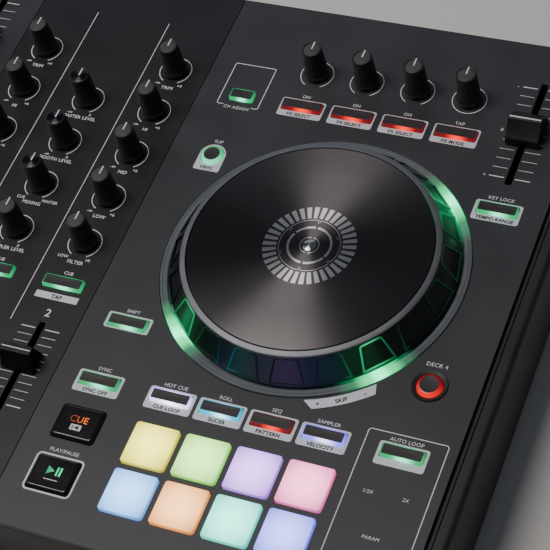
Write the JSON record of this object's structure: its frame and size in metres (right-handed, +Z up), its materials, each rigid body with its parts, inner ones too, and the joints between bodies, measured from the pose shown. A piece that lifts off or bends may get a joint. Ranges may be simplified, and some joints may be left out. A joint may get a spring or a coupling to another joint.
{
  "type": "dj controller",
  "caption": "Table-top DJ controller: two decks with lit platters, pads, keys and tempo faders either side of a mixer of knobs and faders.",
  "frame": {"origin": "middle of the bounding box's base, on the plane that the feet stand on", "axes": "+X to the right deck, +Y to the rear socket panel, +Z up out of the control panels"},
  "size_m": [0.544, 0.338, 0.073],
  "materials": {
    "case_plastic": "fine moulded texture",
    "jack_panel_steel": "black powder coat",
    "circuit_board": "solder mask",
    "mixer_paint": "fine satin paint, near black",
    "deck_paint": "fine satin paint, charcoal",
    "frosted_ring": "frosted clear plastic lit green from below",
    "bearing_steel": "turned",
    "key_plastic": "matte cap on a clear lit base",
    "platter_plastic": "smoked clear plastic with moulded finger facets",
    "platter_metal": "spun and dark anodised",
    "fader_plastic": "semi-gloss with a printed white line",
    "knob_rubber": "matte with a printed white pointer",
    "pad_silicone": "translucent, lit from below"
  },
  "bodies": {
    "case_and_panels": {"bottom_case": "case_plastic", "rear_jack_panel": "jack_panel_steel", "main_board": "circuit_board", "left_side_cheek": "case_plastic", "right_side_cheek": "case_plastic", "mixer_plate": "mixer_paint", "left_deck_plate": "deck_paint", "right_deck_plate": "deck_paint", "left_light_ring": "frosted_ring", "right_light_ring": "frosted_ring", "left_platter_bearing": "bearing_steel", "right_platter_bearing": "bearing_steel", "left_key_mat": "key_plastic"},
    "left_platter": {"left_platter": "platter_plastic", "left_platter_disc": "platter_metal"},
    "right_platter": {"right_platter": "platter_plastic", "right_platter_disc": "platter_metal"},
    "left_tempo_fader_cap": {"left_tempo_fader_cap": "fader_plastic"},
    "right_tempo_fader_cap": {"right_tempo_fader_cap": "fader_plastic"},
    "left_channel_fader_cap": {"left_channel_fader_cap": "fader_plastic"},
    "right_channel_fader_cap": {"right_channel_fader_cap": "fader_plastic"},
    "crossfader_cap": {"crossfader_cap": "fader_plastic"},
    "left_filter_knob": {"left_filter_knob": "knob_rubber"},
    "right_filter_knob": {"right_filter_knob": "knob_rubber"},
    "left_low_knob": {"left_low_knob": "knob_rubber"},
    "right_low_knob": {"right_low_knob": "knob_rubber"},
    "left_mid_knob": {"left_mid_knob": "knob_rubber"},
    "right_mid_knob": {"right_mid_knob": "knob_rubber"},
    "left_high_knob": {"left_high_knob": "knob_rubber"},
    "right_high_knob": {"right_high_knob": "knob_rubber"},
    "left_trim_knob": {"left_trim_knob": "knob_rubber"},
    "right_trim_knob": {"right_trim_knob": "knob_rubber"},
    "sampler_knob": {"sampler_knob": "knob_rubber"},
    "cue_mix_knob": {"cue_mix_knob": "knob_rubber"},
    "booth_knob": {"booth_knob": "knob_rubber"},
    "master_knob": {"master_knob": "knob_rubber"},
    "right_fx_knob_1": {"right_fx_knob_1": "knob_rubber"},
    "right_fx_knob_2": {"right_fx_knob_2": "knob_rubber"},
    "right_fx_knob_3": {"right_fx_knob_3": "knob_rubber"},
    "right_fx_knob_4": {"right_fx_knob_4": "knob_rubber"},
    "right_shift_key": {"right_shift_key": "key_plastic"},
    "right_sync_key": {"right_sync_key": "key_plastic"},
    "right_cue_key": {"right_cue_key": "key_plastic"},
    "right_play_key": {"right_play_key": "key_plastic"},
    "right_key_lock_key": {"right_key_lock_key": "key_plastic"},
    "right_auto_loop_key": {"right_auto_loop_key": "key_plastic"},
    "right_channel_assign_key": {"right_channel_assign_key": "key_plastic"},
    "right_slip_key": {"right_slip_key": "key_plastic"},
    "right_deck_select_key": {"right_deck_select_key": "key_plastic"},
    "right_fx_key_1": {"right_fx_key_1": "key_plastic"},
    "right_fx_key_2": {"right_fx_key_2": "key_plastic"},
    "right_fx_key_3": {"right_fx_key_3": "key_plastic"},
    "right_fx_key_4": {"right_fx_key_4": "key_plastic"},
    "right_pad_mode_key_1": {"right_pad_mode_key_1": "key_plastic"},
    "right_pad_mode_key_2": {"right_pad_mode_key_2": "key_plastic"},
    "right_pad_mode_key_3": {"right_pad_mode_key_3": "key_plastic"},
    "right_pad_mode_key_4": {"right_pad_mode_key_4": "key_plastic"},
    "right_channel_cue_key": {"right_channel_cue_key": "key_plastic"},
    "left_pads": {"left_pads": "pad_silicone"},
    "right_pads": {"right_pads": "pad_silicone"}
  },
  "joints": [
    {"name": "left_platter_spin", "type": "hinge", "parent": "case_and_panels", "child": "left_platter", "pos_m": [-0.1602, 0.0061, 0.053], "axis": [0, 0, 1], "continuous": true},
    {"name": "right_platter_spin", "type": "hinge", "parent": "case_and_panels", "child": "right_platter", "pos_m": [0.1603, 0.0061, 0.053], "axis": [0, 0, 1], "continuous": true},
    {"name": "left_tempo_slide", "type": "slide", "parent": "case_and_panels", "child": "left_tempo_fader_cap", "axis": [0, 1, 0], "range_m": [-0.03, 0.03]},
    {"name": "right_tempo_slide", "type": "slide", "parent": "case_and_panels", "child": "right_tempo_fader_cap", "axis": [0, 1, 0], "range_m": [-0.03, 0.03]},
    {"name": "left_channel_slide", "type": "slide", "parent": "case_and_panels", "child": "left_channel_fader_cap", "axis": [0, 1, 0], "range_m": [-0.025, 0.02]},
    {"name": "right_channel_slide", "type": "slide", "parent": "case_and_panels", "child": "right_channel_fader_cap", "axis": [0, 1, 0], "range_m": [-0.025, 0.02]},
    {"name": "crossfader_slide", "type": "slide", "parent": "case_and_panels", "child": "crossfader_cap", "axis": [1, 0, 0], "range_m": [-0.0225, 0.0225]},
    {"name": "left_filter_turn", "type": "hinge", "parent": "case_and_panels", "child": "left_filter_knob", "pos_m": [-0.04, -0.01, 0.053], "axis": [0, 0, -1], "range_deg": [-150, 150]},
    {"name": "right_filter_turn", "type": "hinge", "parent": "case_and_panels", "child": "right_filter_knob", "pos_m": [0.04, -0.01, 0.053], "axis": [0, 0, -1], "range_deg": [-150, 150]},
    {"name": "left_low_turn", "type": "hinge", "parent": "case_and_panels", "child": "left_low_knob", "pos_m": [-0.04, 0.02017, 0.053], "axis": [0, 0, -1], "range_deg": [-150, 150]},
    {"name": "right_low_turn", "type": "hinge", "parent": "case_and_panels", "child": "right_low_knob", "pos_m": [0.04, 0.02017, 0.053], "axis": [0, 0, -1], "range_deg": [-150, 150]},
    {"name": "left_mid_turn", "type": "hinge", "parent": "case_and_panels", "child": "left_mid_knob", "pos_m": [-0.04, 0.05034, 0.053], "axis": [0, 0, -1], "range_deg": [-150, 150]},
    {"name": "right_mid_turn", "type": "hinge", "parent": "case_and_panels", "child": "right_mid_knob", "pos_m": [0.04, 0.05034, 0.053], "axis": [0, 0, -1], "range_deg": [-150, 150]},
    {"name": "left_high_turn", "type": "hinge", "parent": "case_and_panels", "child": "left_high_knob", "pos_m": [-0.04, 0.08051, 0.053], "axis": [0, 0, -1], "range_deg": [-150, 150]},
    {"name": "right_high_turn", "type": "hinge", "parent": "case_and_panels", "child": "right_high_knob", "pos_m": [0.04, 0.08051, 0.053], "axis": [0, 0, -1], "range_deg": [-150, 150]},
    {"name": "left_trim_turn", "type": "hinge", "parent": "case_and_panels", "child": "left_trim_knob", "pos_m": [-0.04, 0.11068, 0.053], "axis": [0, 0, -1], "range_deg": [-150, 150]},
    {"name": "right_trim_turn", "type": "hinge", "parent": "case_and_panels", "child": "right_trim_knob", "pos_m": [0.04, 0.11068, 0.053], "axis": [0, 0, -1], "range_deg": [-150, 150]},
    {"name": "sampler_turn", "type": "hinge", "parent": "case_and_panels", "child": "sampler_knob", "pos_m": [0, -0.01, 0.053], "axis": [0, 0, -1], "range_deg": [-150, 150]},
    {"name": "cue_mix_turn", "type": "hinge", "parent": "case_and_panels", "child": "cue_mix_knob", "pos_m": [0, 0.02017, 0.053], "axis": [0, 0, -1], "range_deg": [-150, 150]},
    {"name": "booth_turn", "type": "hinge", "parent": "case_and_panels", "child": "booth_knob", "pos_m": [0, 0.05034, 0.053], "axis": [0, 0, -1], "range_deg": [-150, 150]},
    {"name": "master_turn", "type": "hinge", "parent": "case_and_panels", "child": "master_knob", "pos_m": [0, 0.08051, 0.053], "axis": [0, 0, -1], "range_deg": [-150, 150]},
    {"name": "right_fx_turn_1", "type": "hinge", "parent": "case_and_panels", "child": "right_fx_knob_1", "pos_m": [0.1181, 0.1244, 0.053], "axis": [0, 0, -1], "range_deg": [-150, 150]},
    {"name": "right_fx_turn_2", "type": "hinge", "parent": "case_and_panels", "child": "right_fx_knob_2", "pos_m": [0.1464, 0.1244, 0.053], "axis": [0, 0, -1], "range_deg": [-150, 150]},
    {"name": "right_fx_turn_3", "type": "hinge", "parent": "case_and_panels", "child": "right_fx_knob_3", "pos_m": [0.1747, 0.1244, 0.053], "axis": [0, 0, -1], "range_deg": [-150, 150]},
    {"name": "right_fx_turn_4", "type": "hinge", "parent": "case_and_panels", "child": "right_fx_knob_4", "pos_m": [0.203, 0.1244, 0.053], "axis": [0, 0, -1], "continuous": true},
    {"name": "right_shift_press", "type": "slide", "parent": "case_and_panels", "child": "right_shift_key", "axis": [0, 0, -1], "range_m": [0, 0.001], "stiffness_N_per_m": 600, "springref_m": -0.0008},
    {"name": "right_sync_press", "type": "slide", "parent": "case_and_panels", "child": "right_sync_key", "axis": [0, 0, -1], "range_m": [0, 0.001], "stiffness_N_per_m": 600, "springref_m": -0.0008},
    {"name": "right_cue_press", "type": "slide", "parent": "case_and_panels", "child": "right_cue_key", "axis": [0, 0, -1], "range_m": [0, 0.001], "stiffness_N_per_m": 600, "springref_m": -0.0008},
    {"name": "right_play_press", "type": "slide", "parent": "case_and_panels", "child": "right_play_key", "axis": [0, 0, -1], "range_m": [0, 0.001], "stiffness_N_per_m": 600, "springref_m": -0.0008},
    {"name": "right_key_lock_press", "type": "slide", "parent": "case_and_panels", "child": "right_key_lock_key", "axis": [0, 0, -1], "range_m": [0, 0.001], "stiffness_N_per_m": 600, "springref_m": -0.0008},
    {"name": "right_auto_loop_press", "type": "slide", "parent": "case_and_panels", "child": "right_auto_loop_key", "axis": [0, 0, -1], "range_m": [0, 0.001], "stiffness_N_per_m": 600, "springref_m": -0.0008},
    {"name": "right_channel_assign_press", "type": "slide", "parent": "case_and_panels", "child": "right_channel_assign_key", "axis": [0, 0, -1], "range_m": [0, 0.001], "stiffness_N_per_m": 600, "springref_m": -0.0008},
    {"name": "right_slip_press", "type": "slide", "parent": "case_and_panels", "child": "right_slip_key", "axis": [0, 0, -1], "range_m": [0, 0.001], "stiffness_N_per_m": 600, "springref_m": -0.0008},
    {"name": "right_deck_select_press", "type": "slide", "parent": "case_and_panels", "child": "right_deck_select_key", "axis": [0, 0, -1], "range_m": [0, 0.001], "stiffness_N_per_m": 600, "springref_m": -0.0008},
    {"name": "right_fx_press_1", "type": "slide", "parent": "case_and_panels", "child": "right_fx_key_1", "axis": [0, 0, -1], "range_m": [0, 0.001], "stiffness_N_per_m": 600, "springref_m": -0.0008},
    {"name": "right_fx_press_2", "type": "slide", "parent": "case_and_panels", "child": "right_fx_key_2", "axis": [0, 0, -1], "range_m": [0, 0.001], "stiffness_N_per_m": 600, "springref_m": -0.0008},
    {"name": "right_fx_press_3", "type": "slide", "parent": "case_and_panels", "child": "right_fx_key_3", "axis": [0, 0, -1], "range_m": [0, 0.001], "stiffness_N_per_m": 600, "springref_m": -0.0008},
    {"name": "right_fx_press_4", "type": "slide", "parent": "case_and_panels", "child": "right_fx_key_4", "axis": [0, 0, -1], "range_m": [0, 0.001], "stiffness_N_per_m": 600, "springref_m": -0.0008},
    {"name": "right_pad_mode_press_1", "type": "slide", "parent": "case_and_panels", "child": "right_pad_mode_key_1", "axis": [0, 0, -1], "range_m": [0, 0.001], "stiffness_N_per_m": 600, "springref_m": -0.0008},
    {"name": "right_pad_mode_press_2", "type": "slide", "parent": "case_and_panels", "child": "right_pad_mode_key_2", "axis": [0, 0, -1], "range_m": [0, 0.001], "stiffness_N_per_m": 600, "springref_m": -0.0008},
    {"name": "right_pad_mode_press_3", "type": "slide", "parent": "case_and_panels", "child": "right_pad_mode_key_3", "axis": [0, 0, -1], "range_m": [0, 0.001], "stiffness_N_per_m": 600, "springref_m": -0.0008},
    {"name": "right_pad_mode_press_4", "type": "slide", "parent": "case_and_panels", "child": "right_pad_mode_key_4", "axis": [0, 0, -1], "range_m": [0, 0.001], "stiffness_N_per_m": 600, "springref_m": -0.0008},
    {"name": "right_channel_cue_press", "type": "slide", "parent": "case_and_panels", "child": "right_channel_cue_key", "axis": [0, 0, -1], "range_m": [0, 0.001], "stiffness_N_per_m": 600, "springref_m": -0.0008},
    {"name": "left_pads_press", "type": "slide", "parent": "case_and_panels", "child": "left_pads", "axis": [0, 0, -1], "range_m": [0, 0.001], "stiffness_N_per_m": 600, "springref_m": -0.0008},
    {"name": "right_pads_press", "type": "slide", "parent": "case_and_panels", "child": "right_pads", "axis": [0, 0, -1], "range_m": [0, 0.001], "stiffness_N_per_m": 600, "springref_m": -0.0008}
  ]
}
